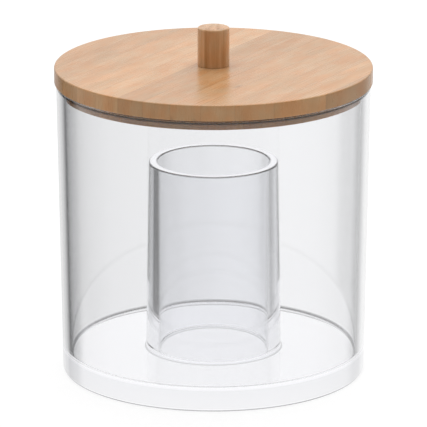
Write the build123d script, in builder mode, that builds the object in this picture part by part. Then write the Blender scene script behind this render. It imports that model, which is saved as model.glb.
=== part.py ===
"""Clear moulded storage canister with a fixed centre tube and a lift-off bamboo lid.

Millimetres, +Z up. The origin is on the canister's axis, at the middle of the face it stands on.
The jar is one moulding: drafted outer wall, solid base and centre tube. The lid is a board of
edge-glued bamboo strips, turned round with a rebate that drops into the jar's mouth, and a
bamboo knob is screwed to it from below.
"""

from build123d import *
import math
import os

# ---- jar: driving dimensions ----
JAR_HEIGHT = 93.6
RIM_OUTER_RADIUS = 49.4
FOOT_OUTER_RADIUS = 47.9
MOUTH_RADIUS = 46.7
FLOOR_THICKNESS = 7.0
WELL_FLOOR_RADIUS = 45.4  # inside of the outer wall, at floor level
RIM_ROUND = 0.6
FOOT_ROUND = 0.9
FLOOR_CORNER_ROUND = 1.2

# ---- centre tube, moulded with the jar ----
TUBE_TOP = 68.1
TUBE_OUTER_RADIUS_TOP = 20.4
TUBE_OUTER_RADIUS_FOOT = 21.5
TUBE_BORE_RADIUS_TOP = 17.7
TUBE_BORE_RADIUS_FLOOR = 17.5
TUBE_RIM_ROUND = 0.6
TUBE_FOOT_ROUND = 0.6
BORE_CORNER_ROUND = 0.6

# ---- lid board ----
LID_RADIUS = 50.0
FLANGE_THICKNESS = 5.05
PLUG_DEPTH = 3.4
PLUG_CLEARANCE = 0.35  # radial, between the rebate and the jar's mouth
LID_TOP_CHAMFER = 0.4
PLUG_CHAMFER = 0.4

# ---- strips of the lid board ----
STRIP_WIDTH = 8.9
STRIP_COUNT = 12
FIRST_GLUE_LINE = -41.15  # distance of the first glue line from the lid's axis
GRAIN_ANGLE = 60.5  # the strips' length, turned from +X in plan

# ---- knob and its screw ----
KNOB_RADIUS = 5.0
KNOB_HEIGHT = 12.3
KNOB_TOP_ROUND = 0.4
SCREW_LENGTH = 16.0
SCREW_SHANK_RADIUS = 1.48
SCREW_HEAD_RADIUS = 2.8
SCREW_POINT_LENGTH = 2.4
PILOT_HOLE_RADIUS = 1.5
PILOT_HOLE_SPARE = 0.8  # how much deeper the pilot hole is than the screw reaches
BOARD_HOLE_RADIUS = 1.6
COUNTERSINK_RADIUS = 2.85
COUNTERSINK_ANGLE = 90
RECESS_DEPTH = 1.2
RECESS_LENGTH = 3.0
RECESS_WIDTH = 0.7

# ---- heights that follow ----
FLANGE_BOTTOM = JAR_HEIGHT
LID_TOP = FLANGE_BOTTOM + FLANGE_THICKNESS
PLUG_BOTTOM = FLANGE_BOTTOM - PLUG_DEPTH
PLUG_RADIUS = MOUTH_RADIUS - PLUG_CLEARANCE

os.makedirs("parts", exist_ok=True)


def corner(sketch, x, y):
    """The sketch corner nearest to a point of the half section."""
    return sketch.vertices().sort_by_distance((x, y))[0]


def save(piece, name):
    """Labels a finished piece and writes its STEP file."""
    piece.part.label = name
    export_step(piece.part, f"parts/{name}.step")


# ---- jar: one moulding, turned from its half section ----
with BuildPart() as jar:
    with BuildSketch(Plane.XZ) as jar_section:
        with BuildLine():
            Polyline(
                (0, 0),
                (FOOT_OUTER_RADIUS, 0),
                (RIM_OUTER_RADIUS, JAR_HEIGHT),
                (MOUTH_RADIUS, JAR_HEIGHT),
                (WELL_FLOOR_RADIUS, FLOOR_THICKNESS),
                (TUBE_OUTER_RADIUS_FOOT, FLOOR_THICKNESS),
                (TUBE_OUTER_RADIUS_TOP, TUBE_TOP),
                (TUBE_BORE_RADIUS_TOP, TUBE_TOP),
                (TUBE_BORE_RADIUS_FLOOR, FLOOR_THICKNESS),
                (0, FLOOR_THICKNESS),
                close=True,
            )
        make_face()
        fillet(corner(jar_section, FOOT_OUTER_RADIUS, 0), FOOT_ROUND)
        fillet(corner(jar_section, RIM_OUTER_RADIUS, JAR_HEIGHT), RIM_ROUND)
        fillet(corner(jar_section, MOUTH_RADIUS, JAR_HEIGHT), RIM_ROUND)
        fillet(corner(jar_section, WELL_FLOOR_RADIUS, FLOOR_THICKNESS), FLOOR_CORNER_ROUND)
        fillet(corner(jar_section, TUBE_OUTER_RADIUS_FOOT, FLOOR_THICKNESS), TUBE_FOOT_ROUND)
        fillet(corner(jar_section, TUBE_OUTER_RADIUS_TOP, TUBE_TOP), TUBE_RIM_ROUND)
        fillet(corner(jar_section, TUBE_BORE_RADIUS_TOP, TUBE_TOP), TUBE_RIM_ROUND)
        fillet(corner(jar_section, TUBE_BORE_RADIUS_FLOOR, FLOOR_THICKNESS), BORE_CORNER_ROUND)
    revolve(axis=Axis.Z)
save(jar, "jar")


# ---- lid board: a stepped disc, cut along the glue lines ----
def strip_limits(index):
    """The two distances from the lid's axis between which a strip lies, counted from 0."""
    low = FIRST_GLUE_LINE + (index - 1) * STRIP_WIDTH
    high = low + STRIP_WIDTH
    return max(low, -LID_RADIUS), min(high, LID_RADIUS)


def across_plane(height):
    """A level plane with its X axis across the strips."""
    across = math.radians(GRAIN_ANGLE - 90)
    return Plane(origin=(0, 0, height), x_dir=(math.cos(across), math.sin(across), 0), z_dir=(0, 0, 1))


def make_strip(index):
    """One bamboo strip of the board, with its share of the rebate and, at the middle, the screw hole."""
    low, high = strip_limits(index)
    middle = (low + high) / 2
    holds_plug = low < PLUG_RADIUS and high > -PLUG_RADIUS
    with BuildPart() as strip:
        with BuildSketch(across_plane(FLANGE_BOTTOM)):
            Circle(LID_RADIUS)
            with Locations((middle, 0)):
                Rectangle(high - low, 2 * LID_RADIUS, mode=Mode.INTERSECT)
        extrude(amount=FLANGE_THICKNESS)
        rim_edges = strip.edges().filter_by(GeomType.CIRCLE)
        chamfer(rim_edges.group_by(Axis.Z)[-1], LID_TOP_CHAMFER)
        if holds_plug:
            with BuildSketch(across_plane(PLUG_BOTTOM)):
                Circle(PLUG_RADIUS)
                with Locations((middle, 0)):
                    Rectangle(high - low, 2 * LID_RADIUS, mode=Mode.INTERSECT)
            extrude(amount=PLUG_DEPTH)
            plug_edges = strip.edges().filter_by(GeomType.CIRCLE)
            chamfer(plug_edges.group_by(Axis.Z)[0], PLUG_CHAMFER)
        if low < 0 < high:
            with Locations(Plane(origin=(0, 0, PLUG_BOTTOM), z_dir=(0, 0, -1))):
                CounterSinkHole(
                    BOARD_HOLE_RADIUS,
                    COUNTERSINK_RADIUS,
                    counter_sink_angle=COUNTERSINK_ANGLE,
                )
    return strip


for index in range(STRIP_COUNT):
    save(make_strip(index), f"lid_strip_{index + 1:02d}")


# ---- knob: a length of bamboo dowel with a pilot hole in its foot ----
with BuildPart() as knob:
    with BuildSketch(Plane.XY.offset(LID_TOP)):
        Circle(KNOB_RADIUS)
    extrude(amount=KNOB_HEIGHT)
    fillet(knob.edges().group_by(Axis.Z)[-1], KNOB_TOP_ROUND)
    with Locations(Plane(origin=(0, 0, LID_TOP), z_dir=(0, 0, -1))):
        Hole(PILOT_HOLE_RADIUS, depth=PLUG_BOTTOM + SCREW_LENGTH - LID_TOP + PILOT_HOLE_SPARE)
save(knob, "knob")


# ---- screw: countersunk, driven up through the lid board into the knob ----
with BuildPart() as knob_screw:
    with BuildSketch(Plane.XZ):
        with BuildLine():
            Polyline(
                (0, PLUG_BOTTOM),
                (SCREW_HEAD_RADIUS, PLUG_BOTTOM),
                (SCREW_SHANK_RADIUS, PLUG_BOTTOM + SCREW_HEAD_RADIUS - SCREW_SHANK_RADIUS),
                (SCREW_SHANK_RADIUS, PLUG_BOTTOM + SCREW_LENGTH - SCREW_POINT_LENGTH),
                (0, PLUG_BOTTOM + SCREW_LENGTH),
                close=True,
            )
        make_face()
    revolve(axis=Axis.Z)
    with BuildSketch(Plane.XY.offset(PLUG_BOTTOM)):
        Rectangle(RECESS_LENGTH, RECESS_WIDTH)
        Rectangle(RECESS_WIDTH, RECESS_LENGTH)
    extrude(amount=RECESS_DEPTH, mode=Mode.SUBTRACT)
save(knob_screw, "knob_screw")
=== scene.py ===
import math

import bpy
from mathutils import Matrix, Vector


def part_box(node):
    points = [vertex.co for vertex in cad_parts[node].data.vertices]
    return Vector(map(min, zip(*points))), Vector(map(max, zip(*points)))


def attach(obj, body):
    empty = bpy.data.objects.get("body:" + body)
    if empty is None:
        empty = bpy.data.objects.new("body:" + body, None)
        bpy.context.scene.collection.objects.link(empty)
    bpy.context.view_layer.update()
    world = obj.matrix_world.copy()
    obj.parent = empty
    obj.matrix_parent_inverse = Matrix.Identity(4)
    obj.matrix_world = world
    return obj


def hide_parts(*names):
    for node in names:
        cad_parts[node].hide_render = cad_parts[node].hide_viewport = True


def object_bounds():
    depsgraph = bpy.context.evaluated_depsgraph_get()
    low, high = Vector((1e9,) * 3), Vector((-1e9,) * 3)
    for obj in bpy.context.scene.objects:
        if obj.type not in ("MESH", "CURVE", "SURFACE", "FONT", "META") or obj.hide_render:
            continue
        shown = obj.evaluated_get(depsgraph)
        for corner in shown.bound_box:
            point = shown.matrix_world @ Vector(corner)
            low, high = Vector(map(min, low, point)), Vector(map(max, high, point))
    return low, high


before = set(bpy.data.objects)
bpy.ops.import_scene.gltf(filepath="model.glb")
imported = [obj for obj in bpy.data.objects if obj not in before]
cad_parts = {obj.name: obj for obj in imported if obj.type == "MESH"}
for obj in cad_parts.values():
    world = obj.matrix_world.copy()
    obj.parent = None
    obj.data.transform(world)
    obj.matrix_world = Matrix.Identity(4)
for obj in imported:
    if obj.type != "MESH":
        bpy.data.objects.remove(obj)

bl_info = {
    "name": "Clear Canister",
    "version": (1, 0, 0),
    "blender": (4, 5, 0),
    "location": "3D View > Sidebar > Canister",
    "description": "Makes a clear moulded canister with a centre tube and a bamboo lid",
    "category": "Add Mesh",
}

MM = 0.001
CAD_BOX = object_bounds()
JAR_LOW, JAR_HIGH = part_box("jar")
KNOB_LOW, KNOB_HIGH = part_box("knob")
SCREW_LOW, SCREW_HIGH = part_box("knob_screw")
STRIP_NODES = sorted(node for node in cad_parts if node.startswith("lid_strip_"))
STRIP_BOXES = [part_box(node) for node in STRIP_NODES]
BOARD_BOTTOM = min(low.z for low, high in STRIP_BOXES)
BOARD_TOP = max(high.z for low, high in STRIP_BOXES)
FLANGE_BOTTOM = JAR_HIGH.z

TURNING_RADIUS = 50 * MM  # of the guide circle that a half section is carried round
WELD_DISTANCE = 2e-6  # points nearer than this become one
JAR_SEGMENTS, BOARD_SEGMENTS, KNOB_SEGMENTS, SCREW_SEGMENTS = 320, 256, 128, 48
JAR_CREASE, CREASE = math.radians(60), math.radians(30)

PLASTIC_IOR, WOOD_IOR = 1.56, 1.5
# painted shade: how much of the plastic's colour is kept, from seen square on (0) to seen edge on (1); the
# darkening edge on stands in for the dark surroundings that a clear wall reflects there
EDGE_ON_SHADE_LEVELS = ((0.12, 0.93), (0.30, 0.90), (0.45, 0.83), (0.60, 0.77), (0.75, 0.71), (1.0, 0.54))
EDGE_ON_SHADE_TINT = (0.996, 1, 1.014)  # of each level, in red, green and blue
BETWEEN_WALLS = (30 * MM, 40 * MM)  # radii that lie between the tube and the jar's wall
SCREW_OUTER_RADIUS = 1.46 * MM
SEED_STEP = 0.137  # how far the grain is shifted from one strip to the next, in metres
THREAD_RIDGE = 0.42 * MM  # half the width of the thread's square section
LAMP_SIZE, LAMP_PLACE = 2.4, (0.2, 0.3, 2.2)
CLEAR_BOUNCES, GLOSS_BOUNCES = 24, 12
WHITE = (1, 1, 1, 1)


# ---- settings ----


class JarSizes(bpy.types.PropertyGroup):
    """Sizes of the clear jar, its base and its centre tube"""

    rim_radius: bpy.props.FloatProperty(
        name="Rim Radius", description="Outside of the wall, at the rim", default=49.4 * MM, unit="LENGTH"
    )
    foot_radius: bpy.props.FloatProperty(
        name="Foot Radius", description="Outside of the wall, at the foot", default=47.9 * MM, unit="LENGTH"
    )
    mouth_radius: bpy.props.FloatProperty(
        name="Mouth Radius", description="Inside of the wall, at the rim", default=46.7 * MM, unit="LENGTH"
    )
    well_radius: bpy.props.FloatProperty(
        name="Well Radius", description="Inside of the wall, at the floor", default=45.4 * MM, unit="LENGTH"
    )
    base_thickness: bpy.props.FloatProperty(
        name="Base Thickness", description="Thickness of the solid base", default=7.0 * MM, unit="LENGTH"
    )
    tube_top: bpy.props.FloatProperty(
        name="Tube Top", description="Height of the tube's rim", default=68.1 * MM, unit="LENGTH"
    )
    tube_radius_top: bpy.props.FloatProperty(
        name="Tube Radius, Top", description="Outside of the tube, at its rim",
        default=20.4 * MM, unit="LENGTH",
    )
    tube_radius_foot: bpy.props.FloatProperty(
        name="Tube Radius, Foot", description="Outside of the tube, at the floor",
        default=21.5 * MM, unit="LENGTH",
    )
    bore_radius_top: bpy.props.FloatProperty(
        name="Bore Radius, Top", description="Inside of the tube, at its rim",
        default=17.7 * MM, unit="LENGTH",
    )
    bore_radius_floor: bpy.props.FloatProperty(
        name="Bore Radius, Floor", description="Inside of the tube, at the floor",
        default=17.5 * MM, unit="LENGTH",
    )
    rim_round: bpy.props.FloatProperty(
        name="Rim Round", description="Rounding of the two rims' edges", default=0.6 * MM, unit="LENGTH"
    )
    lid_shadow_band: bpy.props.FloatProperty(
        name="Rim Band", description="How far below the rim the lid still darkens the wall", default=0.9 * MM,
        unit="LENGTH",
    )
    foot_round: bpy.props.FloatProperty(
        name="Foot Round", description="Rounding of the foot's outer edge", default=0.9 * MM, unit="LENGTH"
    )
    well_round: bpy.props.FloatProperty(
        name="Well Round", description="Rounding where the wall meets the floor",
        default=1.2 * MM, unit="LENGTH",
    )
    tube_foot_round: bpy.props.FloatProperty(
        name="Tube Foot Round", description="Rounding where the tube meets the floor",
        default=0.6 * MM, unit="LENGTH",
    )


class LidSizes(bpy.types.PropertyGroup):
    """Sizes of the bamboo board, its strips, the knob and the screw"""

    board_radius: bpy.props.FloatProperty(
        name="Board Radius", description="Outside of the lid's flange", default=50.0 * MM, unit="LENGTH"
    )
    plug_radius: bpy.props.FloatProperty(
        name="Plug Radius", description="Outside of the part that drops into the jar",
        default=46.35 * MM, unit="LENGTH",
    )
    board_round: bpy.props.FloatProperty(
        name="Board Round", description="Sanded round of the lid's top edge", default=0.5 * MM, unit="LENGTH"
    )
    lower_round: bpy.props.FloatProperty(
        name="Lower Round", description="Sanded round of the lid's lower edges",
        default=0.3 * MM, unit="LENGTH",
    )
    strip_width: bpy.props.FloatProperty(
        name="Strip Width", description="Width of a bamboo strip", default=8.9 * MM, unit="LENGTH"
    )
    first_glue_line: bpy.props.FloatProperty(
        name="First Glue Line", description="Where the first glue line lies across the board",
        default=-41.15 * MM, unit="LENGTH",
    )
    grain_angle: bpy.props.FloatProperty(
        name="Grain Angle", description="Direction of the strips in plan",
        default=math.radians(60.5), subtype="ANGLE",
    )
    knob_round: bpy.props.FloatProperty(
        name="Knob Round", description="Sanded round of the knob's top edge", default=0.45 * MM, unit="LENGTH"
    )
    hole_radius: bpy.props.FloatProperty(
        name="Screw Hole Radius", description="Hole through the board", default=1.6 * MM, unit="LENGTH"
    )
    countersink_radius: bpy.props.FloatProperty(
        name="Countersink Radius", description="Mouth of the countersink", default=2.85 * MM, unit="LENGTH"
    )
    countersink_depth: bpy.props.FloatProperty(
        name="Countersink Depth", description="Depth of the countersink's cone",
        default=1.25 * MM, unit="LENGTH",
    )
    pilot_radius: bpy.props.FloatProperty(
        name="Pilot Hole Radius", description="Hole in the knob's foot", default=1.5 * MM, unit="LENGTH"
    )
    pilot_depth: bpy.props.FloatProperty(
        name="Pilot Hole Depth", description="Depth of the hole in the knob's foot",
        default=8.35 * MM, unit="LENGTH",
    )
    screw_core: bpy.props.FloatProperty(
        name="Screw Core Radius", description="Root of the thread", default=1.05 * MM, unit="LENGTH"
    )
    screw_point: bpy.props.FloatProperty(
        name="Screw Point", description="Length of the screw's point", default=2.4 * MM, unit="LENGTH"
    )
    recess_length: bpy.props.FloatProperty(
        name="Recess Length", description="Length of each arm of the cross recess",
        default=3.0 * MM, unit="LENGTH",
    )
    recess_width: bpy.props.FloatProperty(
        name="Recess Width", description="Width of each arm of the cross recess",
        default=0.7 * MM, unit="LENGTH",
    )
    recess_depth: bpy.props.FloatProperty(
        name="Recess Depth", description="Depth of the cross recess", default=1.2 * MM, unit="LENGTH"
    )
    thread_pitch: bpy.props.FloatProperty(
        name="Thread Pitch", description="Rise of the screw's thread in one turn",
        default=1.35 * MM, unit="LENGTH",
    )


class Finishes(bpy.types.PropertyGroup):
    """Colours of the materials"""

    bamboo_light: bpy.props.FloatVectorProperty(
        name="Bamboo, Light", description="Pith between the fibres", subtype="COLOR", size=3, min=0, max=1,
        default=(0.62, 0.372, 0.200),
    )
    bamboo_dark: bpy.props.FloatVectorProperty(
        name="Bamboo, Dark", description="Fibre bundles", subtype="COLOR", size=3, min=0, max=1,
        default=(0.455, 0.243, 0.103),
    )
    plastic_tint: bpy.props.FloatVectorProperty(
        name="Plastic Tint", description="Colour left by a thick piece of the clear plastic",
        subtype="COLOR", size=3, min=0, max=1, default=(0.93, 0.94, 0.965),
    )
    foot_shade: bpy.props.FloatProperty(
        name="Foot Shade", description="How dark the foot's round looks", default=0.85
    )
    # rim_shade also sets the lid's painted shadow on the wall just below the rim
    rim_shade: bpy.props.FloatProperty(
        name="Rim Shade", description="How dark the rim's rounds look", default=0.95
    )
    well_shade: bpy.props.FloatProperty(
        name="Well Shade", description="How dark the floor's rounds look", default=0.96
    )
    tube_rim_shade: bpy.props.FloatProperty(
        name="Tube Rim Shade", description="How dark the rounds of the tube's rim look", default=0.97
    )
    base_shade: bpy.props.FloatProperty(
        name="Base Shade", description="How dark the side of the solid base looks", default=0.17
    )
    tube_foot_shade: bpy.props.FloatProperty(
        name="Tube Foot Shade", description="How dark the rounds at the tube's foot look", default=0.5
    )
    # the two side colours darken for end grain and carry painted shade
    side_grain_and_shade: bpy.props.FloatVectorProperty(
        name="Bamboo, Side", description="What the turned side of the lid keeps of the board's colour",
        subtype="COLOR", size=3, min=0, max=1, default=(0.72, 0.68, 0.59),
    )
    plug_grain_and_shade: bpy.props.FloatVectorProperty(
        name="Bamboo, Plug", description="What the turned side of the plug keeps of the board's colour",
        subtype="COLOR", size=3, min=0, max=1, default=(0.67, 0.50, 0.14),
    )
    strip_tones: bpy.props.FloatVectorProperty(
        name="Strip Tones", description="How light each strip is, across the board; 1 is the average",
        size=12, default=(0.95, 0.95, 1.02, 1.09, 1.12, 0.91, 0.92, 0.98, 1.01, 1.0, 1.08, 0.89),
    )
    floor_colour: bpy.props.FloatVectorProperty(
        name="Floor", description="Pale floor", subtype="COLOR", size=3, min=0, max=1,
        default=(0.22, 0.22, 0.22),
    )
    floor_glow: bpy.props.FloatProperty(
        name="Floor Glow", description="Light from below the floor", default=0.80
    )


class StageSettings(bpy.types.PropertyGroup):
    """Camera, floor and light"""

    camera_distance: bpy.props.FloatProperty(
        name="Camera Distance", description="Level distance from the canister's axis",
        default=1.4064, unit="LENGTH",
    )
    camera_height: bpy.props.FloatProperty(
        name="Camera Height", description="Height above the floor", default=0.45607, unit="LENGTH"
    )
    camera_pitch: bpy.props.FloatProperty(
        name="Camera Pitch", description="How far the camera looks down",
        default=math.radians(16.097), subtype="ANGLE",
    )
    lens: bpy.props.FloatProperty(
        name="Lens", description="Focal length in mm on a 36 mm sensor", default=389.95
    )
    floor_size: bpy.props.FloatProperty(
        name="Floor Size", description="Side of the square floor", default=6.0, unit="LENGTH"
    )
    floor_gap: bpy.props.FloatProperty(
        name="Floor Gap", description="Film of air under the base", default=0.05 * MM, unit="LENGTH"
    )
    contact_depth: bpy.props.FloatProperty(
        name="Contact Depth", description="How far the base sinks into the floor",
        default=0.02 * MM, unit="LENGTH",
    )
    contact_glow: bpy.props.FloatProperty(
        name="Contact Glow", description="Brightness of the floor under the base", default=0.97
    )
    back_light: bpy.props.FloatProperty(
        name="Back Light", description="Brightness behind", default=1.0
    )
    top_light: bpy.props.FloatProperty(name="Top Light", description="Brightness overhead", default=0.95)
    front_light: bpy.props.FloatProperty(name="Front Light", description="Brightness in front", default=0.12)
    left_flag: bpy.props.FloatProperty(
        name="Left Flag", description="Brightness of the left flag", default=0.05
    )
    right_flag: bpy.props.FloatProperty(
        name="Right Flag", description="Brightness of the right flag", default=0.45
    )
    around_light: bpy.props.FloatProperty(
        name="Around Light", description="Brightness elsewhere, below the horizon", default=0.9
    )
    side_light: bpy.props.FloatProperty(
        name="Side Light", description="Brightness above both sides", default=0.4
    )
    below_light: bpy.props.FloatProperty(
        name="Below Light", description="Brightness under the base", default=1.0
    )
    overhead_power: bpy.props.FloatProperty(
        name="Overhead Power", description="Power of the softbox overhead", default=26.0, subtype="POWER"
    )


# ---- outlines ----


def rounded_outline(corners, steps=8, support=0.12 * MM):
    """Points of a half section, as (radius, height, shade).

    Each corner is (radius, height, rounding, shade). A rounded corner becomes an arc, and the shade swells to
    its full value halfway round it. A straight run gets one more point close to each end, so that smooth
    shading stays inside the arcs.
    """
    places = [Vector(corner[:2]) for corner in corners]
    arcs = []
    for index, (x, y, rounding, shade) in enumerate(corners):
        here = places[index]
        if rounding == 0 or index in (0, len(corners) - 1):
            arcs.append([(here, shade)])
            continue
        back = (places[index - 1] - here).normalized()
        ahead = (places[index + 1] - here).normalized()
        half = back.angle(ahead) / 2
        reach = rounding / math.tan(half)
        centre = here + (back + ahead).normalized() * rounding / math.sin(half)
        start = here + back * reach - centre
        turn = start.angle_signed(here + ahead * reach - centre)
        arc = []
        for step in range(steps + 1):
            angle = -turn * step / steps
            spoke = Vector(
                (
                    start.x * math.cos(angle) - start.y * math.sin(angle),
                    start.x * math.sin(angle) + start.y * math.cos(angle),
                )
            )
            arc.append((centre + spoke, shade * math.sin(math.pi * step / steps) ** 2))
        arcs.append(arc)
    points = list(arcs[0])
    for arc in arcs[1:]:
        (last, last_shade), (first, first_shade) = points[-1], arc[0]
        run = first - last
        if run.length > 4 * support:
            points.append((last + run.normalized() * support, last_shade))
            points.append((first - run.normalized() * support, first_shade))
        points.extend(arc)
    return [(place.x, place.y, shade) for place, shade in points]


def outline_object(name, points, closed=False):
    """A wire object that holds a half section, ready to be turned about Z."""
    mesh = bpy.data.meshes.new(name)
    edges = [(index, index + 1) for index in range(len(points) - 1)]
    if closed:
        edges.append((len(points) - 1, 0))
    mesh.from_pydata([(radius - TURNING_RADIUS, -height, 0) for radius, height, _ in points], edges, [])
    shades = mesh.attributes.new("round_shade", "FLOAT", "POINT")
    shades.data.foreach_set("value", [shade for _, _, shade in points])
    wire = bpy.data.objects.new(name, mesh)
    bpy.context.scene.collection.objects.link(wire)
    return wire


# ---- node trees ----


def new_tree(name, sockets):
    """A geometry tree with one geometry in, one out, and the named inputs."""
    tree = bpy.data.node_groups.new(name, "GeometryNodeTree")
    tree.interface.new_socket("Geometry", in_out="OUTPUT", socket_type="NodeSocketGeometry")
    tree.interface.new_socket("Geometry", in_out="INPUT", socket_type="NodeSocketGeometry")
    for label, kind in sockets:
        tree.interface.new_socket(label, in_out="INPUT", socket_type=kind)
    tree.nodes.new("NodeGroupInput")
    tree.nodes.new("NodeGroupOutput")
    return tree


def add(tree, kind, links=None, **settings):
    """A node with its settings, and its inputs linked to sockets or set to values."""
    node = tree.nodes.new(kind)
    for key, value in settings.items():
        setattr(node, key, value)
    for key, value in (links or {}).items():
        socket = node.inputs[key]
        if isinstance(value, bpy.types.NodeSocket):
            tree.links.new(value, socket)
        else:
            socket.default_value = value
    return node


def math_node(tree, operation, first, second=0.0, clamp=False):
    """The output of a Math node."""
    return add(tree, "ShaderNodeMath", {0: first, 1: second}, operation=operation, use_clamp=clamp).outputs[0]


def finish_tree(tree, geometry):
    """Ends a tree in Realize Instances and Set Material."""
    group_in, group_out = tree.nodes["Group Input"], tree.nodes["Group Output"]
    real = add(tree, "GeometryNodeRealizeInstances", {"Geometry": geometry})
    painted = add(
        tree,
        "GeometryNodeSetMaterial",
        {"Geometry": real.outputs[0], "Material": group_in.outputs["Finish"]},
    )
    tree.links.new(painted.outputs[0], group_out.inputs[0])


def turned_section(tree, given):
    """The nodes that carry a half section round Z and close it at the axis."""
    section = add(tree, "GeometryNodeMeshToCurve", {"Mesh": given["Geometry"]})
    path = add(
        tree,
        "GeometryNodeCurvePrimitiveCircle",
        {"Resolution": given["Segments"], "Radius": given["Turning Radius"]},
        mode="RADIUS",
    )
    turned = add(
        tree,
        "GeometryNodeCurveToMesh",
        {"Curve": path.outputs["Curve"], "Profile Curve": section.outputs[0]},
    )
    closed = add(
        tree, "GeometryNodeMergeByDistance", {"Geometry": turned.outputs[0], "Distance": WELD_DISTANCE}
    )
    outward = add(tree, "GeometryNodeFlipFaces", {"Mesh": closed.outputs[0]})
    return outward.outputs[0]


def moved(tree, geometry, **change):
    """Geometry moved by a Translation or turned by a Rotation."""
    return add(tree, "GeometryNodeTransform", {"Geometry": geometry, **change}).outputs[0]


def creased(tree, geometry, angle):
    """Smooth shading, with every edge sharper than the angle left sharp."""
    smooth = add(
        tree, "GeometryNodeSetShadeSmooth", {"Geometry": geometry, "Shade Smooth": True}, domain="FACE"
    )
    edge_angle = add(tree, "GeometryNodeInputMeshEdgeAngle")
    gentle = add(
        tree,
        "FunctionNodeCompare",
        {"A": edge_angle.outputs["Unsigned Angle"], "B": angle},
        data_type="FLOAT",
        operation="LESS_THAN",
    )
    sharp = add(
        tree,
        "GeometryNodeSetShadeSmooth",
        {"Geometry": smooth.outputs[0], "Shade Smooth": gentle.outputs[0]},
        domain="EDGE",
    )
    return sharp.outputs[0]


TURNED_INPUTS = [
    ("Turning Radius", "NodeSocketFloat"),
    ("Segments", "NodeSocketInt"),
    ("Crease Angle", "NodeSocketFloat"),
    ("Finish", "NodeSocketMaterial"),
]


def turning_tree():
    """Turns a half section about Z."""
    tree = new_tree("Turned Piece", TURNED_INPUTS)
    given = tree.nodes["Group Input"].outputs
    finish_tree(tree, creased(tree, turned_section(tree, given), given["Crease Angle"]))
    return tree


def strip_tree():
    """Turns the whole lid board and keeps the one strip that lies between two glue lines."""
    tree = new_tree(
        "Board Strip",
        TURNED_INPUTS
        + [
            ("Low Side", "NodeSocketFloat"),
            ("High Side", "NodeSocketFloat"),
            ("Length", "NodeSocketFloat"),
            ("Grain Angle", "NodeSocketFloat"),
            ("Tone", "NodeSocketFloat"),
            ("Seed", "NodeSocketFloat"),
        ],
    )
    given = tree.nodes["Group Input"].outputs
    width = math_node(tree, "SUBTRACT", given["High Side"], given["Low Side"])
    total = math_node(tree, "ADD", given["High Side"], given["Low Side"])
    size = add(tree, "ShaderNodeCombineXYZ", {"X": width, "Y": given["Length"], "Z": given["Length"]})
    slab = add(tree, "GeometryNodeMeshCube", {"Size": size.outputs[0]})
    place = add(tree, "ShaderNodeCombineXYZ", {"X": math_node(tree, "MULTIPLY", total, 0.5)})
    shifted = moved(tree, slab.outputs["Mesh"], Translation=place.outputs[0])
    across = math_node(tree, "SUBTRACT", given["Grain Angle"], math.pi / 2)
    turn = add(tree, "ShaderNodeCombineXYZ", {"Z": across})
    laid = moved(tree, shifted, Rotation=turn.outputs[0])
    board = turned_section(tree, given)
    cut = add(tree, "GeometryNodeMeshBoolean", {"Mesh 2": board}, operation="INTERSECT", solver="EXACT")
    tree.links.new(laid, cut.inputs["Mesh 2"])
    strip = cut.outputs["Mesh"]
    for label, value in (("strip_tone", given["Tone"]), ("strip_seed", given["Seed"])):
        marked = add(
            tree,
            "GeometryNodeStoreNamedAttribute",
            {"Geometry": strip, "Name": label, "Value": value},
            data_type="FLOAT",
            domain="POINT",
        )
        strip = marked.outputs[0]
    finish_tree(tree, creased(tree, strip, given["Crease Angle"]))
    return tree


def screw_tree():
    """Turns the screw's core, cuts the cross recess and winds the thread round it."""
    tree = new_tree(
        "Wood Screw",
        TURNED_INPUTS
        + [
            ("Head Height", "NodeSocketFloat"),
            ("Recess Length", "NodeSocketFloat"),
            ("Recess Width", "NodeSocketFloat"),
            ("Recess Depth", "NodeSocketFloat"),
            ("Thread Start", "NodeSocketFloat"),
            ("Thread Turns", "NodeSocketFloat"),
            ("Thread Height", "NodeSocketFloat"),
            ("Thread Middle", "NodeSocketFloat"),
            ("Thread Size", "NodeSocketFloat"),
        ],
    )
    given = tree.nodes["Group Input"].outputs
    core = turned_section(tree, given)
    double = math_node(tree, "MULTIPLY", given["Recess Depth"], 2.0)
    place = add(tree, "ShaderNodeCombineXYZ", {"Z": given["Head Height"]})
    cut = add(tree, "GeometryNodeMeshBoolean", {"Mesh 1": core}, operation="DIFFERENCE", solver="EXACT")
    for first, second in (("Recess Length", "Recess Width"), ("Recess Width", "Recess Length")):
        size = add(tree, "ShaderNodeCombineXYZ", {"X": given[first], "Y": given[second], "Z": double})
        arm = add(tree, "GeometryNodeMeshCube", {"Size": size.outputs[0]})
        placed = moved(tree, arm.outputs["Mesh"], Translation=place.outputs[0])
        tree.links.new(placed, cut.inputs["Mesh 2"])
    helix = add(
        tree,
        "GeometryNodeCurveSpiral",
        {
            "Resolution": 24,
            "Rotations": given["Thread Turns"],
            "Start Radius": given["Thread Middle"],
            "End Radius": given["Thread Middle"],
            "Height": given["Thread Height"],
        },
    )
    upright = add(tree, "GeometryNodeSetCurveNormal", {"Curve": helix.outputs[0]}, mode="Z_UP")
    ridge = add(
        tree,
        "GeometryNodeCurvePrimitiveCircle",
        {"Resolution": 4, "Radius": given["Thread Size"]},
        mode="RADIUS",
    )
    wound = add(
        tree,
        "GeometryNodeCurveToMesh",
        {"Curve": upright.outputs[0], "Profile Curve": ridge.outputs["Curve"], "Fill Caps": True},
    )
    start = add(tree, "ShaderNodeCombineXYZ", {"Z": given["Thread Start"]})
    thread = moved(tree, wound.outputs[0], Translation=start.outputs[0])
    solid = cut.outputs["Mesh"]
    whole = add(tree, "GeometryNodeMeshBoolean", {"Mesh 2": solid}, operation="UNION", solver="EXACT")
    tree.links.new(thread, whole.inputs["Mesh 2"])
    finish_tree(tree, creased(tree, whole.outputs["Mesh"], given["Crease Angle"]))
    return tree


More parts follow.
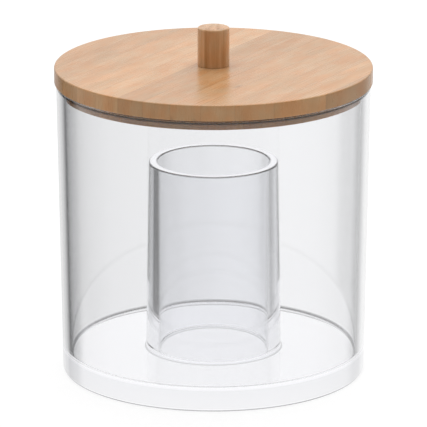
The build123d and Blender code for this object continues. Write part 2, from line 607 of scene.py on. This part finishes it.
def converted(name, source, tree, values):
    """The mesh that a tree makes from a source object, as a new piece. The source goes."""
    modifier = source.modifiers.new("Make", "NODES")
    modifier.node_group = tree
    for item in tree.interface.items_tree:
        if item.item_type == "SOCKET" and item.in_out == "INPUT" and item.name in values:
            modifier[item.identifier] = values[item.name]
    depsgraph = bpy.context.evaluated_depsgraph_get()
    mesh = bpy.data.meshes.new_from_object(source.evaluated_get(depsgraph), depsgraph=depsgraph)
    mesh.name = name
    piece = bpy.data.objects.new(name, mesh)
    bpy.context.scene.collection.objects.link(piece)
    bpy.data.objects.remove(source)
    return piece


def turned_values(segments, crease, finish):
    """The inputs that every turned piece has."""
    return {
        "Turning Radius": TURNING_RADIUS,
        "Segments": segments,
        "Crease Angle": crease,
        "Finish": finish,
    }


# ---- materials ----


def new_material(name):
    """A new material, its node tree and its Principled shader."""
    material = bpy.data.materials.new(name)
    material.use_nodes = True
    tree = material.node_tree
    return material, tree, tree.nodes["Principled BSDF"]


def mapped(tree, value, from_min, from_max, to_min=0.0, to_max=1.0, **settings):
    """The output of a Map Range node."""
    inputs = {"Value": value, "From Min": from_min, "From Max": from_max, "To Min": to_min, "To Max": to_max}
    return add(tree, "ShaderNodeMapRange", inputs, **settings).outputs[0]


def mixed(tree, factor, first, second, **settings):
    """The colour that a Mix node makes of two colours."""
    inputs = {"Factor": factor, "A": first, "B": second}
    return add(tree, "ShaderNodeMix", inputs, data_type="RGBA", **settings).outputs["Result"]


def ramp(tree, factor, stops, **settings):
    """The colour of a ramp with (position, colour) stops."""
    node = add(tree, "ShaderNodeValToRGB", {"Fac": factor})
    for key, value in settings.items():
        setattr(node.color_ramp, key, value)
    elements = node.color_ramp.elements
    while len(elements) < len(stops):
        elements.new(0.5)
    for element, (position, colour) in zip(elements, stops):
        element.position = position
        element.color = colour
    return node.outputs["Color"]


def axis_distance(tree, point):
    """The distance of a point from the Z axis."""
    level = add(tree, "ShaderNodeVectorMath", {0: point, 1: (1, 1, 0)}, operation="MULTIPLY")
    return add(tree, "ShaderNodeVectorMath", {0: level.outputs[0]}, operation="LENGTH").outputs["Value"]


def stretched_noise(tree, vector, lengths, detail=3.0, roughness=0.55):
    """Noise whose grains are as long along each axis as the three lengths say."""
    scaled = add(
        tree,
        "ShaderNodeVectorMath",
        {0: vector, 1: tuple(1 / length for length in lengths)},
        operation="MULTIPLY",
    )
    noise = add(
        tree,
        "ShaderNodeTexNoise",
        {"Vector": scaled.outputs[0], "Scale": 1.0, "Detail": detail, "Roughness": roughness},
        noise_dimensions="3D",
    )
    return noise.outputs["Fac"]


def clear_plastic(finishes):
    """Clear moulded plastic with very slight flow marks; its colour holds painted shade, darker seen edge on,
    along its small rounds and in bands on the outer wall.
    """
    material, tree, shader = new_material("Clear_Plastic")
    output = tree.nodes["Material Output"]
    shader.inputs["Transmission Weight"].default_value = 1.0
    shader.inputs["IOR"].default_value = PLASTIC_IOR
    # painted shade: a wall's colour darkens the more nearly it is seen edge on, in place of the dark
    # surroundings that it reflects; level faces stay clear
    weight = add(tree, "ShaderNodeLayerWeight", {"Blend": 0.5})
    stops = [
        (position, (*(level * share for share in EDGE_ON_SHADE_TINT), 1)) for position, level in EDGE_ON_SHADE_LEVELS
    ]
    edge_on_shade = ramp(tree, weight.outputs["Facing"], stops)
    # the painted shade is full on the tube's walls and weaker on the jar's wall
    place = add(tree, "ShaderNodeTexCoord").outputs["Object"]
    shade_power = mapped(tree, axis_distance(tree, place), *BETWEEN_WALLS, to_min=1.0, to_max=0.6)
    kept = add(tree, "ShaderNodeGamma", {"Color": edge_on_shade, "Gamma": shade_power}).outputs["Color"]
    surface = add(tree, "ShaderNodeNewGeometry")
    normal = add(tree, "ShaderNodeSeparateXYZ", {"Vector": surface.outputs["Normal"]})
    upright = mapped(tree, math_node(tree, "ABSOLUTE", normal.outputs["Z"]), 0.995, 0.9)
    colour = mixed(tree, upright, WHITE, kept)
    # painted shade: thin dark lines along the small rounds, which bend the light away from the eye, and the
    # bands of painted shade and shadow on the outer wall, from the section's round_shade
    shade = add(tree, "ShaderNodeAttribute", attribute_name="round_shade")
    unlined = math_node(tree, "SUBTRACT", 1.0, shade.outputs["Fac"], clamp=True)
    lined = add(tree, "ShaderNodeVectorMath", {0: colour, "Scale": unlined}, operation="SCALE")
    tree.links.new(lined.outputs[0], shader.inputs["Base Color"])
    flow = stretched_noise(tree, place, (12 * MM, 12 * MM, 45 * MM), detail=2.0)
    tree.links.new(mapped(tree, flow, 0.35, 0.75, to_max=0.022), shader.inputs["Roughness"])
    tint = add(tree, "ShaderNodeVolumeAbsorption", {"Color": (*finishes.plastic_tint, 1), "Density": 8.0})
    tree.links.new(tint.outputs[0], output.inputs["Volume"])
    # lamps shine through the thin walls instead of casting a solid shadow
    path = add(tree, "ShaderNodeLightPath")
    open_air = add(tree, "ShaderNodeBsdfTransparent", {"Color": (0.96, 0.96, 0.96, 1)})
    passing = add(tree, "ShaderNodeMixShader", {0: path.outputs["Is Shadow Ray"]})
    tree.links.new(shader.outputs[0], passing.inputs[1])
    tree.links.new(open_air.outputs[0], passing.inputs[2])
    tree.links.new(passing.outputs[0], output.inputs["Surface"])
    return material


def bamboo(name, finishes, turn, fibre, contrast, tone_attributes=False, glue=None, sides=()):
    """Bamboo with its fibres along local X after the turn.

    fibre holds the fibres' length, width and height. A contrast of 1 goes all the way from the dark colour to
    the light one. glue is the first glue line and the strips' width.
    Each of the sides is a turned side, darker from its end grain and from painted shade: its radius, the
    heights it lies between, and what it keeps of the colour.
    """
    material, tree, shader = new_material(name)
    place = add(tree, "ShaderNodeTexCoord").outputs["Object"]
    turned = add(tree, "ShaderNodeMapping", {"Vector": place, "Rotation": turn}).outputs[0]
    vector = turned
    if tone_attributes:
        seed = add(tree, "ShaderNodeAttribute", attribute_name="strip_seed").outputs["Fac"]
        shift = add(tree, "ShaderNodeCombineXYZ", {"X": seed, "Z": seed})
        shifted = add(tree, "ShaderNodeVectorMath", {0: turned, 1: shift.outputs[0]}, operation="ADD")
        vector = shifted.outputs[0]
    length, width, height = fibre
    bundles = stretched_noise(tree, vector, fibre, detail=4.0, roughness=0.6)
    threads = stretched_noise(tree, vector, (length * 0.6, width * 0.3, height * 0.6), detail=2.0)
    bands = stretched_noise(tree, vector, (length, width * 7, height * 2), detail=2.0)
    fine = math_node(tree, "MULTIPLY", threads, 0.14)
    broad = math_node(tree, "MULTIPLY", bands, 0.70)
    main_grain = math_node(tree, "MULTIPLY", bundles, 0.16)
    total = math_node(tree, "ADD", math_node(tree, "ADD", fine, broad), main_grain)
    spread = mapped(tree, total, 0.38, 0.62, to_min=0.5 - contrast / 2, to_max=0.5 + contrast / 2)
    dark, light = (*finishes.bamboo_dark, 1), (*finishes.bamboo_light, 1)
    colour = mixed(tree, spread, dark, light, clamp_factor=False)
    # soft patches, some warmer and some paler
    patches = stretched_noise(tree, vector, (9 * MM, 4.5 * MM, 7 * MM), detail=3.0)
    warmth = mixed(tree, mapped(tree, patches, 0.38, 0.62), (1.04, 0.92, 0.79, 1), (1.0, 1.04, 1.07, 1))
    colour = mixed(tree, 1.0, colour, warmth, blend_type="MULTIPLY")
    shade = 1.0
    if tone_attributes:
        shade = add(tree, "ShaderNodeAttribute", attribute_name="strip_tone").outputs["Fac"]
    # sparse dark flecks, drawn out along the fibres
    counts = (1 / (14 * MM), 1 / (5 * MM), 1 / (9 * MM))
    cells = add(tree, "ShaderNodeVectorMath", {0: vector, 1: counts}, operation="MULTIPLY")
    spots = add(tree, "ShaderNodeTexVoronoi", {"Vector": cells.outputs[0], "Scale": 1.0}, feature="F1")
    core = mapped(tree, spots.outputs["Distance"], 0.22, 0.08)
    chosen = add(tree, "ShaderNodeSeparateColor", {"Color": spots.outputs["Color"]})
    rare = math_node(tree, "GREATER_THAN", chosen.outputs[0], 0.8)
    fleck = math_node(tree, "MULTIPLY", math_node(tree, "MULTIPLY", core, rare), 0.22)
    shade = math_node(tree, "MULTIPLY", shade, math_node(tree, "SUBTRACT", 1.0, fleck))
    if glue:
        first_line, strip_width = glue
        axes = add(tree, "ShaderNodeSeparateXYZ", {"Vector": turned})
        across = math_node(tree, "MULTIPLY", axes.outputs["Y"], -1.0)
        inside = math_node(tree, "PINGPONG", math_node(tree, "SUBTRACT", across, first_line), strip_width / 2)
        line = mapped(tree, inside, 0.06 * MM, 0.2 * MM, to_min=0.9)
        shade = math_node(tree, "MULTIPLY", shade, line)
    toned = add(tree, "ShaderNodeVectorMath", {0: colour, "Scale": shade}, operation="SCALE")
    colour = toned.outputs[0]
    if sides:
        reach = axis_distance(tree, place)
        height = add(tree, "ShaderNodeSeparateXYZ", {"Vector": place}).outputs["Z"]
    # each side's colour is darkened for its end grain and by painted shade: the flange's side lit less than
    # the top, the plug's side in the shaded recess under the flange
    for radius, low, high, kept in sides:
        outside = mapped(tree, reach, radius - 0.3 * MM, radius - 0.05 * MM)
        above = math_node(tree, "GREATER_THAN", height, low)
        below = math_node(tree, "LESS_THAN", height, high)
        share = math_node(tree, "MULTIPLY", outside, math_node(tree, "MULTIPLY", above, below))
        colour = mixed(tree, share, colour, (*kept, 1), blend_type="MULTIPLY")
    tree.links.new(colour, shader.inputs["Base Color"])
    gloss = mapped(tree, bundles, 0.3, 0.7, to_min=0.34, to_max=0.24)
    tree.links.new(gloss, shader.inputs["Roughness"])
    shader.inputs["IOR"].default_value = WOOD_IOR
    grain = math_node(tree, "ADD", bundles, threads)
    relief = add(tree, "ShaderNodeBump", {"Height": grain, "Strength": 0.15, "Distance": 0.03 * MM})
    tree.links.new(relief.outputs[0], shader.inputs["Normal"])
    return material


def screw_steel():
    """Zinc-plated steel, a little uneven in its shine."""
    material, tree, shader = new_material("Screw_Steel")
    shader.inputs["Metallic"].default_value = 1.0
    place = add(tree, "ShaderNodeTexCoord")
    patches = stretched_noise(tree, place.outputs["Object"], (1.2 * MM, 1.2 * MM, 1.2 * MM))
    colour = mixed(tree, patches, (0.52, 0.52, 0.55, 1), (0.78, 0.78, 0.80, 1))
    tree.links.new(colour, shader.inputs["Base Color"])
    rough = mapped(tree, patches, 0.0, 1.0, to_min=0.2, to_max=0.45)
    tree.links.new(rough, shader.inputs["Roughness"])
    return material


def glowing(name, colour, specular, light, strength):
    """A matt material that gives light of its own, and its shader."""
    material, tree, shader = new_material(name)
    shader.inputs["Base Color"].default_value = (*colour, 1)
    shader.inputs["Specular IOR Level"].default_value = specular
    shader.inputs["Emission Color"].default_value = light
    shader.inputs["Emission Strength"].default_value = strength
    return material, shader


def pale_floor(finishes):
    """Plain pale floor, partly lit from below like a light table, so that shadows on it stay faint."""
    material, shader = glowing("Pale_Floor", finishes.floor_colour, 0.1, WHITE, finishes.floor_glow)
    shader.inputs["Roughness"].default_value = 0.8
    return material


def lit_patch(settings):
    """The floor where the base touches it: the same even white, seen from inside the plastic."""
    light = (0.985, 0.985, 1.0, 1)
    return glowing("Floor_Contact", (0.1, 0.1, 0.1), 0.0, light, settings.contact_glow)[0]


# ---- pieces ----


class CANISTER_OT_jar(bpy.types.Operator):
    """Make the clear jar with its solid base and centre tube"""

    bl_idname = "canister.jar"
    bl_label = "Jar"

    def execute(self, context):
        sizes = context.scene.canister_jar
        shades = context.scene.canister_finishes
        top, tube = JAR_HIGH.z, sizes.tube_top
        base = sizes.base_thickness
        slope = (sizes.rim_radius - sizes.foot_radius) / (top - JAR_LOW.z)
        fade = 0.3 * MM  # half the height over which the base's shade runs out
        # heights on the outside of the wall where its shade changes: darker along the side of the solid base,
        # then painted shadow of the lid just below the rim
        band = [
            (JAR_LOW.z + sizes.foot_round + 0.1 * MM, shades.base_shade),
            (base - fade, shades.base_shade),
            (base + fade, 0),
            # painted shadow of the lid on the top of the wall, as dark as the rim's rounds
            (top - sizes.rim_round - sizes.lid_shadow_band, 0),
            (top - sizes.rim_round - sizes.lid_shadow_band / 2, shades.rim_shade),
            (top - sizes.rim_round - 0.02 * MM, shades.rim_shade),
        ]
        corners = [
            (0, JAR_LOW.z, 0, 0),
            (sizes.foot_radius, JAR_LOW.z, sizes.foot_round, shades.foot_shade),
            *((sizes.rim_radius - slope * (top - height), height, 0, shade) for height, shade in band),
            (sizes.rim_radius, top, sizes.rim_round, shades.rim_shade),
            (sizes.mouth_radius, top, sizes.rim_round, shades.rim_shade),
            (sizes.well_radius, base, sizes.well_round, shades.well_shade),
            (sizes.tube_radius_foot, base, sizes.tube_foot_round, shades.tube_foot_shade),
            (sizes.tube_radius_top, tube, sizes.rim_round, shades.tube_rim_shade),
            (sizes.bore_radius_top, tube, sizes.rim_round, shades.tube_rim_shade),
            (sizes.bore_radius_floor, base, sizes.tube_foot_round, shades.tube_foot_shade),
            (0, base, 0, 0),
        ]
        wire = outline_object("jar_section", rounded_outline(corners))
        jar = converted(
            "Clear_Jar",
            wire,
            turning_tree(),
            turned_values(JAR_SEGMENTS, JAR_CREASE, clear_plastic(shades)),
        )
        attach(jar, "jar")
        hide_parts("jar")
        return {"FINISHED"}


class CANISTER_OT_board(bpy.types.Operator):
    """Make the bamboo strips of the lid board"""

    bl_idname = "canister.board"
    bl_label = "Lid Board"

    def execute(self, context):
        sizes = context.scene.canister_lid
        finishes = context.scene.canister_finishes
        if len(STRIP_NODES) != len(finishes.strip_tones):
            raise RuntimeError(f"{len(STRIP_NODES)} strips in the frame, {len(finishes.strip_tones)} tones")
        finish = bamboo(
            "Bamboo_Board",
            finishes,
            turn=(0, 0, -sizes.grain_angle),
            fibre=(22 * MM, 0.8 * MM, 6 * MM),
            contrast=0.5,
            tone_attributes=True,
            glue=(sizes.first_glue_line, sizes.strip_width),
            # end grain with painted shade on the flange's side, and stronger painted shade on the plug's side
            # under the flange
            sides=(
                (sizes.board_radius, FLANGE_BOTTOM, BOARD_TOP, finishes.side_grain_and_shade),
                (sizes.plug_radius, BOARD_BOTTOM, FLANGE_BOTTOM - 0.01 * MM, finishes.plug_grain_and_shade),
            ),
        )
        cone_top = BOARD_BOTTOM + sizes.countersink_depth
        corners = [
            (sizes.hole_radius, cone_top, 0, 0),
            (sizes.countersink_radius, BOARD_BOTTOM, 0, 0),
            (sizes.plug_radius, BOARD_BOTTOM, sizes.lower_round, 0),
            (sizes.plug_radius, FLANGE_BOTTOM, 0, 0),
            (sizes.board_radius, FLANGE_BOTTOM, sizes.lower_round, 0),
            (sizes.board_radius, BOARD_TOP, sizes.board_round, 0),
            (sizes.hole_radius, BOARD_TOP, 0, 0),
        ]
        points = rounded_outline(corners)
        tree = strip_tree()
        for index, node in enumerate(STRIP_NODES):
            low = sizes.first_glue_line + (index - 1) * sizes.strip_width
            high = low + sizes.strip_width
            last = index == len(STRIP_NODES) - 1
            strip = converted(
                f"Bamboo_Strip_{index + 1:02d}",
                outline_object("board_section", points, closed=True),
                tree,
                {
                    **turned_values(BOARD_SEGMENTS, CREASE, finish),
                    "Low Side": -1.1 * sizes.board_radius if index == 0 else low,
                    "High Side": 1.1 * sizes.board_radius if last else high,
                    "Length": 4 * sizes.board_radius,
                    "Grain Angle": sizes.grain_angle,
                    "Tone": finishes.strip_tones[index],
                    "Seed": SEED_STEP * (index + 1),
                },
            )
            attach(strip, "lid")
            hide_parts(node)
        return {"FINISHED"}


class CANISTER_OT_knob(bpy.types.Operator):
    """Make the bamboo dowel knob"""

    bl_idname = "canister.knob"
    bl_label = "Knob"

    def execute(self, context):
        sizes = context.scene.canister_lid
        radius = KNOB_HIGH.x
        hole_top = KNOB_LOW.z + sizes.pilot_depth
        corners = [
            (0, hole_top, 0, 0),
            (sizes.pilot_radius, hole_top, 0, 0),
            (sizes.pilot_radius, KNOB_LOW.z, 0, 0),
            (radius, KNOB_LOW.z, 0.15 * MM, 0),
            (radius, KNOB_HIGH.z, sizes.knob_round, 0),
            (0, KNOB_HIGH.z, 0, 0),
        ]
        finish = bamboo(
            "Bamboo_Dowel",
            context.scene.canister_finishes,
            turn=(0, math.pi / 2, 0),
            fibre=(30 * MM, 0.9 * MM, 0.9 * MM),
            contrast=1.5,
        )
        knob = converted(
            "Bamboo_Knob",
            outline_object("knob_section", rounded_outline(corners)),
            turning_tree(),
            turned_values(KNOB_SEGMENTS, CREASE, finish),
        )
        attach(knob, "lid")
        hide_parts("knob")
        return {"FINISHED"}


class CANISTER_OT_screw(bpy.types.Operator):
    """Make the countersunk screw that holds the knob"""

    bl_idname = "canister.screw"
    bl_label = "Knob Screw"

    def execute(self, context):
        sizes = context.scene.canister_lid
        head, core = SCREW_HIGH.x, sizes.screw_core
        neck = SCREW_LOW.z + head - core
        point = SCREW_HIGH.z - sizes.screw_point
        corners = [
            (0, SCREW_LOW.z, 0, 0),
            (head, SCREW_LOW.z, 0, 0),
            (core, neck, 0, 0),
            (core, point, 0, 0),
            (0, SCREW_HIGH.z, 0, 0),
        ]
        turns = math.floor((point - neck - 2 * THREAD_RIDGE) / sizes.thread_pitch)
        screw = converted(
            "Knob_Screw",
            outline_object("screw_section", rounded_outline(corners)),
            screw_tree(),
            {
                **turned_values(SCREW_SEGMENTS, CREASE, screw_steel()),
                "Head Height": SCREW_LOW.z,
                "Recess Length": sizes.recess_length,
                "Recess Width": sizes.recess_width,
                "Recess Depth": sizes.recess_depth,
                "Thread Start": neck + THREAD_RIDGE,
                "Thread Turns": float(turns),
                "Thread Height": turns * sizes.thread_pitch,
                "Thread Middle": SCREW_OUTER_RADIUS - THREAD_RIDGE,
                "Thread Size": THREAD_RIDGE,
            },
        )
        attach(screw, "lid")
        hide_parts("knob_screw")
        return {"FINISHED"}


# ---- stage ----


def ring_of_light(tree, turn, stops):
    """Brightness by heading. A stop is degrees from straight behind, positive to the right, and a level."""
    places = [(0.5 + angle / 360, (level, level, level, 1)) for angle, level in stops]
    return ramp(tree, turn, places, interpolation="EASE")


def soft_world(settings):
    """Soft light all round.

    It is white overhead and straight below. Above the horizon it is bright behind and dim in front. Below the
    horizon it is bright, with one dark flag behind the canister at the left and one at the right.
    """
    world = bpy.data.worlds.new("Soft_World")
    world.use_nodes = True
    tree = world.node_tree
    background = tree.nodes["Background"]
    place = add(tree, "ShaderNodeTexCoord")
    axes = add(tree, "ShaderNodeSeparateXYZ", {"Vector": place.outputs["Generated"]})
    heading = math_node(tree, "ARCTAN2", axes.outputs["X"], axes.outputs["Y"])
    turn = math_node(tree, "ADD", math_node(tree, "DIVIDE", heading, 2 * math.pi), 0.5)
    back, front, soft = settings.back_light, settings.front_light, settings.side_light
    left, right, around = settings.left_flag, settings.right_flag, settings.around_light
    left_edge = [(-180, around), (-64, around), (-51, left), (-37, left), (-28, 0.6 * back)]
    middle = [(-17, 0.86 * back), (-8, 0.82 * back), (-3, 0.9 * back), (3, back), (22, back)]
    right_edge = [(36, 0.6 * back), (44, right), (60, around), (180, around)]
    low_ring = ring_of_light(tree, turn, left_edge + middle + right_edge)
    behind = [(-70, soft), (-30, back), (30, back), (70, soft)]
    high_ring = ring_of_light(tree, turn, [(-180, front), (-130, front), *behind, (180, front)])

    def blended(start, end, first, second):
        """One colour below a height on the sky's unit sphere and another above it."""
        share = mapped(tree, axes.outputs["Z"], start, end, interpolation_type="SMOOTHSTEP")
        return mixed(tree, share, first, second)

    light = blended(-0.02, 0.12, low_ring, high_ring)
    light = blended(0.3, 0.8, light, (settings.top_light,) * 3 + (1,))
    light = blended(-0.42, -0.6, light, (settings.below_light,) * 3 + (1,))
    # the camera sees plain white behind the floor
    path = add(tree, "ShaderNodeLightPath")
    seen = mixed(tree, path.outputs["Is Camera Ray"], light, WHITE)
    tree.links.new(seen, background.inputs["Color"])
    background.inputs["Strength"].default_value = 1.0
    return world


def contact_disc(sizes, settings):
    """The disc of floor that the flat underside rests on, a hair above the rest of the floor."""
    radius = sizes.foot_radius - sizes.foot_round
    level = CAD_BOX[0][2] + settings.contact_depth
    steps = 128
    turns = [2 * math.pi * step / steps for step in range(steps)]
    mesh = bpy.data.meshes.new("Floor_Contact")
    points = [(radius * math.cos(turn), radius * math.sin(turn), level) for turn in turns]
    mesh.from_pydata(points, [], [tuple(range(steps))])
    mesh.materials.append(lit_patch(settings))
    return bpy.data.objects.new("Floor_Contact", mesh)


class CANISTER_OT_stage(bpy.types.Operator):
    """Make the floor, the light and the camera"""

    bl_idname = "canister.stage"
    bl_label = "Stage"

    def execute(self, context):
        scene = context.scene
        settings = scene.canister_stage
        half = settings.floor_size / 2
        mesh = bpy.data.meshes.new("Floor")
        level = CAD_BOX[0][2] - settings.floor_gap
        corners = [(-half, -half, level), (half, -half, level), (half, half, level), (-half, half, level)]
        mesh.from_pydata(corners, [], [(0, 1, 2, 3)])
        mesh.materials.append(pale_floor(scene.canister_finishes))
        floor = bpy.data.objects.new("Floor", mesh)
        scene.collection.objects.link(floor)
        floor.visible_glossy = False
        floor.visible_transmission = False

        touching = contact_disc(scene.canister_jar, settings)
        scene.collection.objects.link(touching)

        scene.world = soft_world(settings)
        lamp = bpy.data.lights.new("Overhead_Softbox", "AREA")
        lamp.shape = "SQUARE"
        lamp.size = LAMP_SIZE
        lamp.energy = settings.overhead_power
        light = bpy.data.objects.new("Overhead_Softbox", lamp)
        light.location = LAMP_PLACE
        scene.collection.objects.link(light)

        lens = bpy.data.cameras.new("Camera")
        lens.lens = settings.lens
        lens.sensor_width = 36.0
        lens.clip_start = 0.05
        camera = bpy.data.objects.new("Camera", lens)
        camera.location = (0, -settings.camera_distance, settings.camera_height)
        camera.rotation_euler = (math.pi / 2 - settings.camera_pitch, 0, 0)
        scene.collection.objects.link(camera)
        scene.camera = camera

        scene.view_settings.view_transform = "Standard"
        scene.view_settings.look = "None"
        scene.cycles.max_bounces = CLEAR_BOUNCES
        scene.cycles.transmission_bounces = CLEAR_BOUNCES
        scene.cycles.glossy_bounces = GLOSS_BOUNCES
        return {"FINISHED"}


# ---- panel and running ----


class CANISTER_PT_panel(bpy.types.Panel):
    """Buttons for the canister's pieces"""

    bl_idname = "CANISTER_PT_panel"
    bl_label = "Canister"
    bl_space_type = "VIEW_3D"
    bl_region_type = "UI"
    bl_category = "Canister"

    def draw(self, context):
        for operator in OPERATORS:
            self.layout.operator(operator.bl_idname)


OPERATORS = (CANISTER_OT_jar, CANISTER_OT_board, CANISTER_OT_knob, CANISTER_OT_screw, CANISTER_OT_stage)
GROUPS = (
    ("canister_jar", JarSizes),
    ("canister_lid", LidSizes),
    ("canister_finishes", Finishes),
    ("canister_stage", StageSettings),
)


def register():
    for name, group in GROUPS:
        bpy.utils.register_class(group)
        setattr(bpy.types.Scene, name, bpy.props.PointerProperty(type=group))
    for operator in OPERATORS:
        bpy.utils.register_class(operator)
    bpy.utils.register_class(CANISTER_PT_panel)


def unregister():
    bpy.utils.unregister_class(CANISTER_PT_panel)
    for operator in reversed(OPERATORS):
        bpy.utils.unregister_class(operator)
    for name, group in reversed(GROUPS):
        delattr(bpy.types.Scene, name)
        bpy.utils.unregister_class(group)


def main():
    """Makes every piece in order."""
    register()
    bpy.ops.canister.jar()
    bpy.ops.canister.board()
    bpy.ops.canister.knob()
    bpy.ops.canister.screw()
    bpy.ops.canister.stage()


if __name__ == "__main__":
    main()
